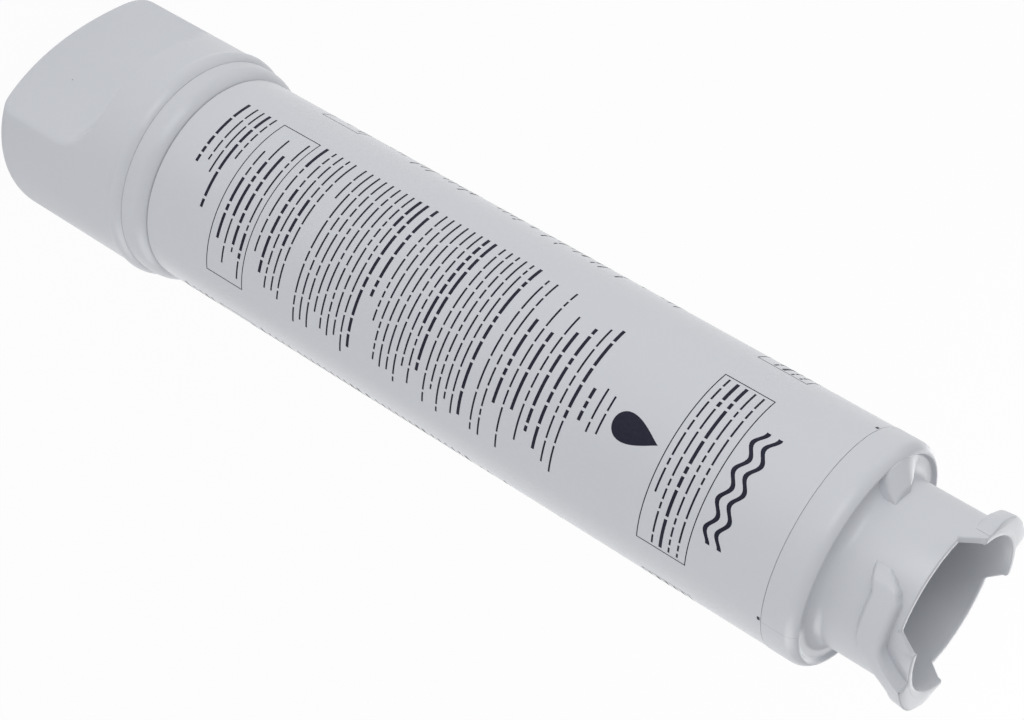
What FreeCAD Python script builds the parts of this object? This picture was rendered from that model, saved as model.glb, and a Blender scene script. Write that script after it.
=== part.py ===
"""Push-and-turn water filter cartridge for a refrigerator.

A moulded housing with a bayonet neck, a welded grip cap, a printed wrap round the barrel, and the carbon
element inside.  Millimetres.  The cartridge stands on its grip end, on the axis, with +Z towards the mouth.
The two finger flats of the grip face -Y and +Y.
"""
import FreeCAD
import Part
import math
import os
import Sketcher
from types import SimpleNamespace

SIZES = {
    # Grip cap: a closed cup with a domed end and two scooped finger flats
    "grip_step": 2.4,
    "collar_height": 11.3,
    "cap_wall": 2.7,
    "end_land_radius": 12.0,
    "crown_radius": 54.5,
    "end_rounding": 5.0,
    "flat_offset": 14.75,
    "scoop_height": 32.5,
    "runout_radius": 10.0,
    "grip_softening": 0.8,
    "bead_proud": 0.35,
    "bead_rise": 1.0,
    "bead_fall": 2.4,
    "bead_drop": 1.1,
    # Housing: weld flange, barrel with the wrap's recess, shoulder
    "weld_clearance": 0.1,
    "spigot_length": 5.0,
    "flange_step": 1.6,
    "flange_height": 5.9,
    "flange_fall": 3.6,
    "barrel_radius": 23.7,
    "barrel_wall": 2.4,
    "recess_depth": 0.35,
    "recess_length": 160.1,
    "shoulder_height": 8.1,
    "shoulder_rounding": 3.2,
    "shoulder_wall": 2.6,
    "lip_width": 1.4,
    "groove_width": 4.6,
    "groove_depth": 1.3,
    "groove_rounding": 0.5,
    "neck_fillet": 2.5,
    # Neck: a thin socket with two tabs, turned about the axis against the grip's flats
    "mouth_turn": 24.3,
    "neck_wall": 1.6,
    "tab_height": 19.6,
    "notch_depth": 3.85,
    "notch_width": 20.0,
    "notch_flare": 2.5,
    "socket_sink": 6.0,
    "floor_thickness": 2.4,
    "outlet_port_radius": 4.0,
    "inlet_port_radius": 2.0,
    "inlet_count": 6,
    "sleeve_radius": 6.0,
    "sleeve_wall": 1.8,
    "sleeve_length": 12.0,
    # Cam ribs: each leads in, dwells, climbs and fades out at the rim; angles count from the tab's centre
    "rib_proud": 2.3,
    "rib_lean": 0.4,
    "rib_width": 5.3,
    "rib_rounding": 1.1,
    "rib_flank_drop": 1.7,
    "rib_height": 9.0,
    "rib_rise": 7.5,
    "rib_lead_drop": 2.6,
    "rib_end_angle": 42.2,
    "rib_fade_angle": 16.0,
    "rib_crown_angle": 36.0,
    "rib_climb_angle": 36.0,
    "rib_dwell_angle": 24.0,
    "rib_lead_angle": 16.0,
    # Key: one wedge across the shoulder's groove, with a straight nose and a long ramp
    "key_angle": 122.3,
    "key_nose_angle": 14.5,
    "key_ramp_angle": 33.5,
    "key_height": 3.0,
    "key_fall": 0.6,
    "key_tuck": 0.15,
    # Printed wrap
    "seam_turn": 120.0,
    "film_clearance": 0.1,
    "film_thickness": 0.15,
    "film_margin": 0.3,
    "film_seam_angle": 0.5,
    # Filter element and its two seals
    "flow_gap": 1.05,
    "block_bore_radius": 6.0,
    "fleece_thickness": 1.0,
    "cap_disc_thickness": 2.5,
    "skirt_height": 5.0,
    "skirt_wall": 0.8,
    "skirt_clearance": 0.1,
    "fin_thickness": 1.2,
    "fin_clearance": 0.2,
    "fin_count": 4,
    "element_gap": 3.0,
    "stub_clearance": 0.3,
    "stub_bore_radius": 2.8,
    "stub_tip_gap": 1.0,
    "ring_section_radius": 0.75,
    "ring_clearance": 0.05,
    "ring_depth": 3.6,
    "ring_pitch": 4.0,
}
CLIMB_STATIONS = 4
RIB_SETTLING = (1, 3 / 4, 1 / 8)
NOSE_STATIONS = ((0, 1 / 16, 7 / 8), (4 / 9, 3 / 8, 1 / 4), (1, 17 / 16, 0))
RAMP_STATIONS = 3
KEY_HOLLOW = 1 / 4
FULL_TURN = 360
TOUCH = 0.01
OPEN_END, FAR_END = range(1, 3)
ORIGIN, H_AXIS, V_AXIS = (-1, 1), -1, -2


class Size:
    """A size with its value and its formula in the sheet's words, so that one expression gives both."""

    def __init__(self, value, formula):
        self.value = value
        self.formula = formula

    @staticmethod
    def of(other):
        return other if isinstance(other, Size) else Size(other, str(other))

    def joined(self, other, sign, value):
        return Size(value, f"({self.formula} {sign} {other.formula})")

    def __add__(self, other):
        other = Size.of(other)
        return self.joined(other, "+", self.value + other.value)

    def __sub__(self, other):
        other = Size.of(other)
        return self.joined(other, "-", self.value - other.value)

    def __mul__(self, other):
        other = Size.of(other)
        return self.joined(other, "*", self.value * other.value)

    def __truediv__(self, other):
        other = Size.of(other)
        return self.joined(other, "/", self.value / other.value)

    def __radd__(self, other):
        return Size.of(other) + self

    def __rsub__(self, other):
        return Size.of(other) - self

    def __rmul__(self, other):
        return Size.of(other) * self

    def __neg__(self):
        return Size(-self.value, f"(0 - {self.formula})")

    def root(self):
        return Size(math.sqrt(self.value), f"sqrt({self.formula})")


doc = FreeCAD.newDocument("filter_cartridge")
sheet = doc.addObject("Spreadsheet::Sheet", "sizes")
for row, (name, value) in enumerate(SIZES.items(), start=1):
    sheet.set(f"A{row}", name)
    sheet.set(f"B{row}", str(value))
    sheet.setAlias(f"B{row}", name)
doc.recompute()
s = SimpleNamespace(**{name: Size(value, f"sizes.{name}") for name, value in SIZES.items()})
ZERO = Size(0.0, "0")


# Sketches and features

def new_body(label, lift=ZERO, turn=ZERO):
    """An empty body that stands at its own height, turned about the axis."""
    body = doc.addObject("PartDesign::Body", label)
    body.Label = label
    up = FreeCAD.Vector(0, 0, 1)
    body.Placement = FreeCAD.Placement(up * lift.value, FreeCAD.Rotation(up, turn.value))
    body.setExpression("Placement.Base.z", lift.formula)
    if turn is not ZERO:
        body.setExpression("Placement.Rotation.Angle", turn.formula)
    return body


def new_sketch(body, name, role="XZ_Plane", turn=ZERO, lift=ZERO):
    """A sketch on one of the body's own planes, turned about the plane's upright or lifted off the plane."""
    sketch = body.newObject("Sketcher::SketchObject", name)
    plane = next(feature for feature in body.Origin.OriginFeatures if feature.Role == role)
    sketch.AttachmentSupport = (plane, "")
    sketch.MapMode = "FlatFace"
    upright = FreeCAD.Rotation(FreeCAD.Vector(0, 1, 0), turn.value)
    sketch.AttachmentOffset = FreeCAD.Placement(FreeCAD.Vector(0, 0, lift.value), upright)
    if turn is not ZERO:
        sketch.setExpression("AttachmentOffset.Rotation.Angle", turn.formula)
    if lift is not ZERO:
        sketch.setExpression("AttachmentOffset.Base.z", lift.formula)
    return sketch


def bind(sketch, size, kind, *places):
    """Adds a dimension and ties it to its formula."""
    index = sketch.addConstraint(Sketcher.Constraint(kind, *places, size.value))
    sketch.setExpression(f"Constraints[{index}]", size.formula)


def place_point(sketch, edge, end, across, up):
    """Fixes an end of an edge at a pair of sizes, on either side of the axes."""
    for size, kind, axis in ((across, "DistanceX", V_AXIS), (up, "DistanceY", H_AXIS)):
        if size is ZERO:
            sketch.addConstraint(Sketcher.Constraint("PointOnObject", edge, end, axis))
        elif size.value < 0:
            bind(sketch, -size, kind, edge, end, *ORIGIN)
        else:
            bind(sketch, size, kind, *ORIGIN, edge, end)


def short_arc(start, stop, radius, turn):
    """The arc of less than half a turn between two points, bending left for a turn of 1 and right for -1."""
    chord = stop - start
    reach = math.sqrt(radius * radius - chord.Length * chord.Length / 4)
    sideways = FreeCAD.Vector(-chord.y, chord.x, 0).normalize()
    centre = (start + stop) / 2 + sideways * reach * turn
    first, last = (start, stop) if turn > 0 else (stop, start)
    angles = [math.atan2(point.y - centre.y, point.x - centre.x) for point in (first, last)]
    return Part.ArcOfCircle(Part.Circle(centre, FreeCAD.Vector(0, 0, 1), radius), *angles)


def outline(sketch, corners):
    """Closes a profile through its corners.  A corner is two sizes, and may add the radius and turn of the
    arc that leaves it."""
    points = [FreeCAD.Vector(corner[0].value, corner[1].value, 0) for corner in corners]
    edges = []
    for corner, start, stop in zip(corners, points, points[1:] + points[:1]):
        if len(corner) == 2:
            edge = sketch.addGeometry(Part.LineSegment(start, stop))
            edges.append((edge, OPEN_END, FAR_END))
            continue
        radius, turn = corner[2:]
        edge = sketch.addGeometry(short_arc(start, stop, radius.value, turn))
        edges.append((edge, OPEN_END, FAR_END) if turn > 0 else (edge, FAR_END, OPEN_END))
        bind(sketch, radius, "Radius", edge)
    for (edge, _, last), (following, first, _) in zip(edges, edges[1:] + edges[:1]):
        sketch.addConstraint(Sketcher.Constraint("Coincident", edge, last, following, first))
    for (edge, first, _), corner in zip(edges, corners):
        place_point(sketch, edge, first, corner[0], corner[1])


def falling_arc(drop, fall):
    """The radius of an arc that leaves a cylinder smoothly and drops towards the axis over a height."""
    return (drop * drop + fall * fall) / (drop * 2)


def rectangle(low_x, low_y, high_x, high_y):
    """The four corners of an upright rectangle."""
    return [(low_x, low_y), (high_x, low_y), (high_x, high_y), (low_x, high_y)]


def revolve(body, name, corners, sweep=None):
    """Turns a profile of radius and height about the body's axis, all round or through a sweep."""
    sketch = new_sketch(body, f"{name}_profile")
    outline(sketch, corners)
    feature = body.newObject("PartDesign::Revolution", name)
    feature.Profile = sketch
    feature.ReferenceAxis = (sketch, ["V_Axis"])
    feature.Angle = FULL_TURN
    if sweep is not None:
        feature.setExpression("Angle", sweep.formula)
    doc.recompute()
    return feature


def groove(body, name, corners):
    """Cuts a turned profile out of the body."""
    before = body.Shape.Volume
    sketch = new_sketch(body, f"{name}_profile")
    outline(sketch, corners)
    feature = body.newObject("PartDesign::Groove", name)
    feature.Profile = sketch
    feature.ReferenceAxis = (sketch, ["V_Axis"])
    feature.Angle = FULL_TURN
    doc.recompute()
    must_shrink(body, before, name)
    return feature


def pocket(body, name, sketch, depth=None):
    """Cuts a sketch through the whole body both ways, or down to a depth."""
    before = body.Shape.Volume
    feature = body.newObject("PartDesign::Pocket", name)
    feature.Profile = sketch
    if depth is None:
        feature.Type = "ThroughAll"
        feature.SideType = "Symmetric"
    else:
        feature.Type = "Length"
        feature.Length = depth.value
        feature.setExpression("Length", depth.formula)
    doc.recompute()
    must_shrink(body, before, name)
    return feature


def pad_both_ways(body, name, sketch, thickness):
    """Grows a sketch to a thickness, half to each side."""
    feature = body.newObject("PartDesign::Pad", name)
    feature.Profile = sketch
    feature.SideType = "Symmetric"
    feature.Length = thickness.value
    feature.setExpression("Length", thickness.formula)
    doc.recompute()
    return feature


def around(body, name, feature, count):
    """Repeats a feature evenly about the body's axis."""
    pattern = body.newObject("PartDesign::PolarPattern", name)
    pattern.Originals = [feature]
    axis = next(item for item in body.Origin.OriginFeatures if item.Role == "Z_Axis")
    pattern.Axis = (axis, [""])
    pattern.Angle = FULL_TURN
    pattern.Occurrences = int(count.value)
    pattern.setExpression("Occurrences", count.formula)
    body.Tip = pattern
    doc.recompute()
    return pattern


def loft(body, name, sections, straight=False):
    """Joins radial sections round the axis, smoothly or straight.  Each is an angle and a profile."""
    sketches = []
    for number, (angle, corners) in enumerate(sections):
        sketch = new_sketch(body, f"{name}_section_{number}", turn=angle)
        outline(sketch, corners)
        sketches.append(sketch)
    feature = body.newObject("PartDesign::AdditiveLoft", name)
    feature.Profile = sketches[0]
    feature.Sections = sketches[1:]
    feature.Ruled = straight
    doc.recompute()
    return feature


def soften(body, name, radius, chosen):
    """Rounds the edges of the body's last feature that a test picks."""
    base = body.Tip
    names = [f"Edge{number}" for number, edge in enumerate(base.Shape.Edges, start=1) if chosen(edge)]
    feature = body.newObject("PartDesign::Fillet", name)
    feature.Base = (base, names)
    feature.Radius = radius.value
    feature.setExpression("Radius", radius.formula)
    doc.recompute()
    return feature


def must_shrink(body, before, name):
    """A cut that takes nothing away points the wrong way."""
    if body.Shape.Volume >= before:
        raise RuntimeError(f"{name} cuts nothing")


# Fits that several pieces share

grip_radius = s.barrel_radius + s.grip_step
cap_height = s.scoop_height + s.collar_height
cap_bore_radius = grip_radius - s.cap_wall
spigot_radius = cap_bore_radius - s.weld_clearance
ledge_height = s.scoop_height + s.cap_wall
recess_radius = s.barrel_radius - s.recess_depth
barrel_bore_radius = recess_radius - s.barrel_wall
recess_top = s.flange_height + s.recess_length
face_height = recess_top + s.shoulder_height
lip_radius = s.barrel_radius - s.lip_width
lip_turn = s.shoulder_rounding - s.lip_width
lip_rise = (s.shoulder_rounding * s.shoulder_rounding - lip_turn * lip_turn).root()
lip_height = face_height - s.shoulder_rounding + lip_rise
groove_floor = face_height - s.groove_depth
neck_radius = lip_radius - s.groove_width
neck_bore_radius = neck_radius - s.neck_wall
rim_height = face_height + s.tab_height
floor_height = face_height - s.socket_sink
floor_underside = floor_height - s.floor_thickness
sleeve_end = floor_underside - s.sleeve_length
sleeve_outside = s.sleeve_radius + s.sleeve_wall
block_bottom = ledge_height + s.cap_disc_thickness
block_top = cap_height + sleeve_end - s.element_gap - s.cap_disc_thickness
block_length = block_top - block_bottom
skirt_outside = barrel_bore_radius - s.flow_gap
skirt_inside = skirt_outside - s.skirt_wall
fleece_radius = skirt_inside - s.skirt_clearance
block_radius = fleece_radius - s.fleece_thickness


def make_grip_cap():
    """Grip cap: a domed cup, scooped flat on two sides for the fingers, with a bead at its weld."""
    body = new_body("grip_cap")
    dome_centre = (s.crown_radius * s.crown_radius - s.end_land_radius * s.end_land_radius).root()
    corner_radius = grip_radius - s.end_rounding
    inner_crown = s.crown_radius - s.end_rounding
    corner_drop = (inner_crown * inner_crown - corner_radius * corner_radius).root()
    corner_height = dome_centre - corner_drop
    stretch = s.crown_radius / inner_crown
    bead_radius = grip_radius + s.bead_proud
    bead_crest = cap_height - s.bead_fall
    revolve(body, "grip_cup", [
        (ZERO, ZERO),
        (s.end_land_radius, ZERO, s.crown_radius, 1),
        (corner_radius * stretch, dome_centre - corner_drop * stretch, s.end_rounding, 1),
        (grip_radius, corner_height),
        (grip_radius, bead_crest - s.bead_rise),
        (bead_radius, bead_crest, falling_arc(s.bead_drop, s.bead_fall), 1),
        (bead_radius - s.bead_drop, cap_height),
        (cap_bore_radius, cap_height),
        (cap_bore_radius, ledge_height),
        (ZERO, ledge_height),
    ])
    clear_of_grip = grip_radius + s.end_rounding
    for side, name in ((1, "back"), (-1, "front")):
        flat = s.flat_offset * side
        runout = (s.flat_offset + s.runout_radius) * side
        clear = clear_of_grip * side
        scoop = new_sketch(body, f"{name}_scoop_profile", "YZ_Plane")
        outline(scoop, [
            (flat, -s.end_rounding),
            (flat, s.scoop_height - s.runout_radius, s.runout_radius, -side),
            (runout, s.scoop_height),
            (clear, s.scoop_height),
            (clear, -s.end_rounding),
        ])
        pocket(body, f"{name}_scoop", scoop)

    def borders_flat(edge):
        middle = edge.CenterOfMass
        on_flat = all(abs(abs(vertex.Y) - s.flat_offset.value) < TOUCH for vertex in edge.Vertexes)
        return on_flat and middle.z < s.scoop_height.value - s.runout_radius.value - TOUCH

    soften(body, "softened_flats", s.grip_softening, borders_flat)
    inner_flat = s.flat_offset - s.cap_wall
    cavity_edge = (cap_bore_radius * cap_bore_radius - inner_flat * inner_flat).root()
    cavity = new_sketch(body, "cavity_outline", "XY_Plane", lift=ledge_height)
    outline(cavity, [
        (cavity_edge, -inner_flat, cap_bore_radius, 1),
        (cavity_edge, inner_flat),
        (-cavity_edge, inner_flat, cap_bore_radius, 1),
        (-cavity_edge, -inner_flat),
    ])
    pocket(body, "cavity", cavity, ledge_height - corner_height)
    return body


def make_filter_housing():
    """Filter housing: flange, barrel, shoulder, neck and socket with its outlet sleeve, in one moulding."""
    body = new_body("filter_housing", cap_height, s.mouth_turn)
    inner_face = groove_floor - s.shoulder_wall
    flange_radius = s.barrel_radius + s.flange_step
    flange_arc = falling_arc(flange_radius - recess_radius, s.flange_fall)
    revolve(body, "shell", [
        (barrel_bore_radius, -s.spigot_length),
        (spigot_radius, -s.spigot_length),
        (spigot_radius, ZERO),
        (flange_radius, ZERO),
        (flange_radius, s.flange_height - s.flange_fall, flange_arc, 1),
        (recess_radius, s.flange_height),
        (recess_radius, recess_top),
        (s.barrel_radius, recess_top),
        (s.barrel_radius, face_height - s.shoulder_rounding, s.shoulder_rounding, 1),
        (lip_radius, lip_height),
        (lip_radius, groove_floor + s.groove_rounding, s.groove_rounding, -1),
        (lip_radius - s.groove_rounding, groove_floor),
        (neck_radius + s.neck_fillet, groove_floor, s.neck_fillet, -1),
        (neck_radius, groove_floor + s.neck_fillet),
        (neck_radius, rim_height),
        (neck_bore_radius, rim_height),
        (neck_bore_radius, floor_height),
        (s.outlet_port_radius, floor_height),
        (s.outlet_port_radius, floor_underside),
        (s.sleeve_radius, floor_underside),
        (s.sleeve_radius, sleeve_end),
        (sleeve_outside, sleeve_end),
        (sleeve_outside, floor_underside),
        (neck_radius, floor_underside),
        (neck_radius, inner_face),
        (barrel_bore_radius, inner_face),
    ])
    add_cam_ribs(body)
    add_key(body)
    cut_mouth(body)
    cut_inlet_ports(body)
    return body


def rib_section(height, width, share):
    """A slice of a cam rib: rooted in the neck's wall, with a sloped flank below and a rounded edge above.
    A share of less than 1 draws it back towards the neck."""
    root = neck_radius - s.neck_wall * 3 / 4
    face = neck_radius + s.rib_proud * share
    crest = face + s.rib_lean * share
    top = height + width
    return [
        (root, height - s.rib_flank_drop),
        (face, height),
        (crest, top - s.rib_rounding, s.rib_rounding, 1),
        (crest - s.rib_rounding, top),
        (root, top),
    ]


def add_cam_ribs(body):
    """Cam ribs: one per tab, which lead in low, dwell, climb in an S, run along the rim and fade out."""
    fade_start = s.rib_end_angle - s.rib_fade_angle
    crown_start = fade_start - s.rib_crown_angle
    climb_start = crown_start - s.rib_climb_angle
    dwell_start = climb_start - s.rib_dwell_angle
    lead_start = dwell_start - s.rib_lead_angle
    level = face_height + s.rib_height
    high = level + s.rib_rise
    sections = [
        (lead_start, rib_section(level - s.rib_lead_drop, s.rib_width / 2, 1 / 4)),
        (dwell_start - s.rib_lead_angle / 2, rib_section(level - s.rib_lead_drop / 2, s.rib_width, 1)),
        (dwell_start, rib_section(level, s.rib_width, 1)),
        (dwell_start + s.rib_dwell_angle / 2, rib_section(level, s.rib_width, 1)),
    ]
    for station in range(CLIMB_STATIONS + 1):
        share = station / CLIMB_STATIONS
        eased = share * share * (3 - 2 * share)
        sections.append((climb_start + s.rib_climb_angle * share,
                         rib_section(level + s.rib_rise * eased, s.rib_width, 1)))
    settling = (crown_start + s.rib_crown_angle / 2, fade_start, s.rib_end_angle)
    for angle, share in zip(settling, RIB_SETTLING):
        sections.append((angle, rib_section(high, s.rib_width, share)))
    rib = loft(body, "cam_rib", sections)
    around(body, "cam_ribs", rib, Size(2, "2"))


def key_section(reach, top, neck_top):
    """A slice of the key: it fills the groove from the neck out to a reach, under a hollow top."""
    root = neck_radius - s.neck_wall / 2
    sunk = groove_floor - s.shoulder_wall / 4
    return [
        (root, sunk),
        (reach, sunk),
        (reach, top),
        (neck_radius + (reach - neck_radius) * KEY_HOLLOW, top + (neck_top - top) * KEY_HOLLOW),
        (neck_radius, neck_top),
        (root, neck_top),
    ]


def add_key(body):
    """Key: a hollow wedge whose nose is a straight wall from the neck out to the lip.  Behind the nose it
    ramps down to the groove's floor."""
    crest = face_height + s.key_height
    outer = lip_height - s.key_tuck
    sections = []
    for share, crossing, rise in NOSE_STATIONS:
        reach = neck_radius + s.groove_width * crossing
        top = outer + (crest - outer) * rise
        sections.append((-(s.key_angle + s.key_nose_angle * share),
                         key_section(reach, top, crest - s.key_fall * share)))
    nose_back = s.key_angle + s.key_nose_angle
    back_crest = crest - s.key_fall
    buried = groove_floor - s.shoulder_wall / 8
    for station in range(1, RAMP_STATIONS + 1):
        share = station / RAMP_STATIONS
        sections.append((-(nose_back + s.key_ramp_angle * share),
                         key_section(reach, outer - (outer - buried) * share,
                                     back_crest - (back_crest - buried) * share)))
    loft(body, "key", sections, straight=True)


def cut_mouth(body):
    """Mouth: the ribs are cut level with the rim, and two flared notches with radial flanks leave the tabs."""
    rib_reach = neck_radius + s.rib_proud + s.rib_lean
    above = rim_height + s.tab_height
    groove(body, "level_rim", rectangle(neck_bore_radius, rim_height, rib_reach + s.rib_rounding, above))
    base = s.notch_width / 2
    top = base + s.notch_flare
    base_away = (neck_radius * neck_radius - base * base).root()
    top_away = (neck_radius * neck_radius - top * top).root()
    profiles = []
    for name, away in (("inner", neck_bore_radius / 4), ("outer", rib_reach + s.rib_rounding)):
        low = base * away / base_away
        high = top * away / top_away
        profile = new_sketch(body, f"{name}_notch_profile", lift=away)
        outline(profile, [
            (-low, rim_height - s.notch_depth),
            (low, rim_height - s.notch_depth),
            (high, rim_height),
            (high, above),
            (-high, above),
            (-high, rim_height),
        ])
        profiles.append(profile)
    before = body.Shape.Volume
    notch = body.newObject("PartDesign::SubtractiveLoft", "notch")
    notch.Profile = profiles[0]
    notch.Sections = profiles[1:]
    notch.Ruled = True
    doc.recompute()
    must_shrink(body, before, "notch")
    around(body, "notches", notch, Size(2, "2"))


def cut_inlet_ports(body):
    """Inlet ports: round holes through the socket's floor, in a ring about the outlet."""
    inlet_circle_radius = (sleeve_outside + neck_bore_radius) / 2
    port = new_sketch(body, "inlet_port_outline", "XY_Plane", lift=floor_height)
    circle = port.addGeometry(Part.Circle(FreeCAD.Vector(inlet_circle_radius.value, 0, 0),
                                          FreeCAD.Vector(0, 0, 1), s.inlet_port_radius.value))
    bind(port, s.inlet_port_radius, "Radius", circle)
    port.addConstraint(Sketcher.Constraint("PointOnObject", circle, 3, H_AXIS))
    bind(port, inlet_circle_radius, "DistanceX", *ORIGIN, circle, 3)
    hole = pocket(body, "inlet_port", port, s.floor_thickness)
    around(body, "inlet_ports", hole, s.inlet_count)


def make_label_wrap():
    """Printed wrap: a film round the barrel in its recess, with its butt seam at the back."""
    body = new_body("label_wrap", cap_height + s.flange_height + s.film_margin, s.seam_turn)
    inside = recess_radius + s.film_clearance
    length = s.recess_length - s.film_margin * 2
    revolve(body, "film", rectangle(inside, ZERO, inside + s.film_thickness, length),
            FULL_TURN - s.film_seam_angle)
    return body


def make_tube(label, inside, outside):
    """A plain tube as long as the carbon block, between the element's two end caps."""
    body = new_body(label, block_bottom)
    revolve(body, f"{label}_wall", rectangle(inside, ZERO, outside, block_length))
    return body


def make_closed_end_cap():
    """Closed end cap: a disc on the grip cap's ledge, with a skirt round the fleece and centring fins."""
    body = new_body("closed_end_cap", ledge_height)
    skirt_top = s.cap_disc_thickness + s.skirt_height
    revolve(body, "closing_disc", [
        (ZERO, ZERO),
        (skirt_outside, ZERO),
        (skirt_outside, skirt_top),
        (skirt_inside, skirt_top),
        (skirt_inside, s.cap_disc_thickness),
        (ZERO, s.cap_disc_thickness),
    ])
    housing_end = cap_height - s.spigot_length - ledge_height
    fin_profile = new_sketch(body, "fin_profile")
    fin_root = skirt_inside + s.skirt_wall / 2
    outline(fin_profile, rectangle(fin_root, housing_end, barrel_bore_radius - s.fin_clearance, skirt_top))
    fin = pad_both_ways(body, "fin", fin_profile, s.fin_thickness)
    around(body, "fins", fin, s.fin_count)
    return body


ring_groove_floor = s.sleeve_radius - s.ring_clearance * 2 - s.ring_section_radius * 2
ring_radius = ring_groove_floor + s.ring_clearance + s.ring_section_radius
ring_half_groove = s.ring_section_radius + s.ring_clearance
sleeve_mouth = s.cap_disc_thickness + s.element_gap
ring_levels = [sleeve_mouth + s.ring_depth, sleeve_mouth + s.ring_depth + s.ring_pitch]


def make_outlet_end_cap():
    """Outlet end cap: a skirted disc on the block's mouth end, with a stub that carries two seals."""
    body = new_body("outlet_end_cap", block_top)
    stub_radius = s.sleeve_radius - s.stub_clearance
    stub_top = sleeve_mouth + s.sleeve_length - s.stub_tip_gap
    corners = [
        (s.stub_bore_radius, ZERO),
        (skirt_inside, ZERO),
        (skirt_inside, -s.skirt_height),
        (skirt_outside, -s.skirt_height),
        (skirt_outside, s.cap_disc_thickness),
        (stub_radius, s.cap_disc_thickness),
    ]
    for level in ring_levels:
        corners += [
            (stub_radius, level - ring_half_groove),
            (ring_groove_floor, level - ring_half_groove),
            (ring_groove_floor, level + ring_half_groove),
            (stub_radius, level + ring_half_groove),
        ]
    corners += [(stub_radius, stub_top), (s.stub_bore_radius, stub_top)]
    revolve(body, "stub", corners)
    return body


def make_ring(label, level):
    """A seal in its groove on the outlet stub."""
    ring = doc.addObject("Part::Torus", label)
    ring.Label = label
    ring.setExpression("Radius1", ring_radius.formula)
    ring.setExpression("Radius2", s.ring_section_radius.formula)
    ring.setExpression("Placement.Base.z", (block_top + level).formula)
    return ring


pieces = [
    make_filter_housing(),
    make_grip_cap(),
    make_label_wrap(),
    make_tube("carbon_block", s.block_bore_radius, block_radius),
    make_tube("prefilter_sleeve", block_radius, fleece_radius),
    make_closed_end_cap(),
    make_outlet_end_cap(),
    make_ring("inner_o_ring", ring_levels[0]),
    make_ring("outer_o_ring", ring_levels[1]),
]
doc.recompute()

failed = [item.Name for item in doc.Objects if {"Invalid", "Error"} & set(item.State)]
broken = [piece.Label for piece in pieces if piece.Shape.isNull() or not piece.Shape.isValid()]
if failed or broken:
    raise RuntimeError(f"failed features {failed}, broken pieces {broken}")
os.makedirs("parts", exist_ok=True)
for piece in pieces:
    piece.Shape.exportStep(f"parts/{piece.Label}.step")
    print(f"{piece.Label}: {piece.Shape.Volume / 1000:.2f} cm3, {len(piece.Shape.Solids)} solid")
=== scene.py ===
# %% [markdown]
# # A water filter cartridge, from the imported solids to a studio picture
#
# The real thing is a white cartridge that is pushed into a refrigerator's filter head and turned by its
# grip. It is four pieces to the eye: a grip cap, a housing with a bayonet neck, the ribs and key of that
# neck, and a printed wrap. The solids give the sizes and the place of everything. This lesson dresses them:
# each visible piece is modelled again with fine segments and soft edges, and gets a finish with the grain
# of moulded plastic or of printed film.

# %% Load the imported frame
import math
import random

import bmesh
import bpy
from mathutils import Matrix, Vector


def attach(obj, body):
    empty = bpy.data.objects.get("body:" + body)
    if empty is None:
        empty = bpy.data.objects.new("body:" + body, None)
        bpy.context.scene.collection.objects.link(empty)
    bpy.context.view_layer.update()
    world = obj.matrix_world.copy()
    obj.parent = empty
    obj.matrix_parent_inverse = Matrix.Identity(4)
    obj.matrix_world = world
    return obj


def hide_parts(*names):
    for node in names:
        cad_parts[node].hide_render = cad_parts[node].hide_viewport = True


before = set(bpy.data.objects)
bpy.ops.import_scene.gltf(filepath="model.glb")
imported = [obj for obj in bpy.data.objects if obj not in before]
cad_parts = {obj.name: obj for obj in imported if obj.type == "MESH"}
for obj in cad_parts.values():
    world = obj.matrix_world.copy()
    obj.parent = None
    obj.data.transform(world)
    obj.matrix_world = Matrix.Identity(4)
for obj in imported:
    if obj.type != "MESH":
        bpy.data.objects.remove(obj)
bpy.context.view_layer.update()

MM = 0.001
print("nodes:", ", ".join(sorted(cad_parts)))

# %% [markdown]
# ## Tools that every piece shares
#
# Nearly all of this cartridge is round, so nearly all of it starts as a line of radii and heights that is
# spun about the upright axis. A spin is kinder than a cylinder with cuts: every rounding is a few more
# points on the line. When a piece is done, its doubles are merged, its faces are turned outwards, and edges
# sharper than a crease angle stay crisp while the rest is shaded smooth. The sizes of pieces are in mm and
# counted from the axis and from the end that the cartridge stands on. A hair and a touch are the small
# lengths that comparisons and trims allow for.

# %% Spinning, softening and keeping a piece
WELD = 0.004 * MM
CREASE = 38
FULL_TURN = math.tau
QUARTER = 90
HAIR = 0.01
TOUCH = 0.1


def arc(centre, radius, start, stop, steps):
    """Points of radius and height on an arc; the angles are in degrees, from outwards to upwards."""
    angles = [math.radians(start + (stop - start) * i / steps) for i in range(steps + 1)]
    return [(centre[0] + radius * math.cos(a), centre[1] + radius * math.sin(a)) for a in angles]


def spun(corners, steps, closed=True, angle=FULL_TURN):
    """A bmesh that is a line of radii and heights, turned about the axis."""
    bm = bmesh.new()
    verts = [bm.verts.new((r * MM, 0, z * MM)) for r, z in corners]
    ends = verts[1:] + (verts[:1] if closed else [])
    edges = [bm.edges.new(pair) for pair in zip(verts, ends)]
    bmesh.ops.spin(bm, geom=verts + edges, cent=(0, 0, 0), axis=(0, 0, 1), angle=angle, steps=steps,
                   use_merge=angle == FULL_TURN)
    bmesh.ops.remove_doubles(bm, verts=bm.verts, dist=WELD)
    bmesh.ops.recalc_face_normals(bm, faces=bm.faces)
    return bm


def turn_whole(bm, turn):
    """Turns a whole bmesh about the axis."""
    bmesh.ops.rotate(bm, verts=bm.verts, matrix=Matrix.Rotation(turn, 3, "Z"))


def reach(vert):
    """A vertex's distance from the axis."""
    return math.hypot(vert.co.x, vert.co.y) / MM


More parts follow.
